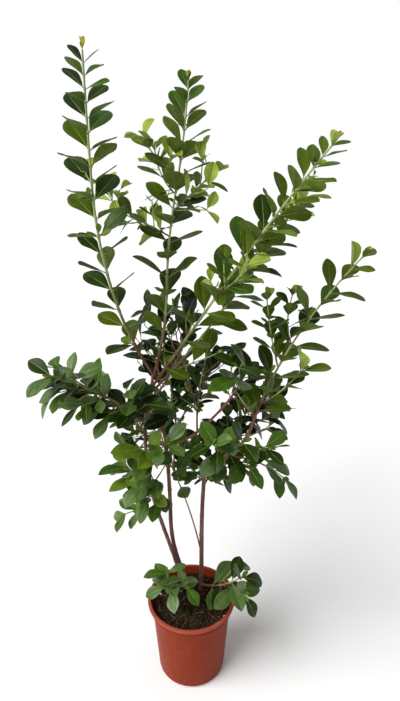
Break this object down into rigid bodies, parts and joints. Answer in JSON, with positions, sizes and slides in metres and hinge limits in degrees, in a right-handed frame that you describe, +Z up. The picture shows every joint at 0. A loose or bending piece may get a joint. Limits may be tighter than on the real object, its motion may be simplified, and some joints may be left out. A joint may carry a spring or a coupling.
{
  "type": "potted strawberry guava",
  "caption": "Tall, airy strawberry guava shrub: slim bare stems, leafy upright leaders and sprays, in a round terracotta-coloured plastic nursery pot.",
  "frame": {"origin": "centre of the pot's flat underside, on the surface it stands on", "axes": "+Z up along the pot's axis, +X to the right and +Y away for a viewer in front, where the tallest leader is on the left"},
  "size_m": [0.5633, 0.3351, 1.1818],
  "materials": {
    "bark": "rough, reddish brown, lightly peeling",
    "foliage": "leathery leaf green, slightly glossy",
    "pot": "satin moulded plastic, terracotta red-brown",
    "soil": "dark, rough, fibrous potting soil"
  },
  "bodies": {
    "root": {"stem_left": "bark", "stem_middle": "bark", "stem_right": "bark", "bough_left": "bark", "bough_middle": "bark", "bough_right": "bark", "bough_centre": "bark", "basal_branch_left": "bark", "basal_branch_right": "bark", "leader_far_left": "foliage", "leader_middle": "foliage", "leader_right_upper": "foliage", "leader_right_lower": "foliage", "leader_far_right": "foliage", "spray_left": "foliage", "spray_centre": "foliage", "spray_trunk": "foliage", "spray_core_high": "foliage", "spray_core_back": "foliage", "spray_core_mid": "foliage", "spray_low_left": "foliage", "spray_low_front": "foliage", "spray_low_right": "foliage", "spray_low_far_right": "foliage", "spray_low_tip": "foliage", "twig_low": "foliage", "spray_back_left": "foliage", "spray_back_right": "foliage", "spray_back_low": "foliage", "basal_left": "foliage", "basal_right": "foliage", "pot": "pot", "soil": "soil"}
  },
  "joints": []
}
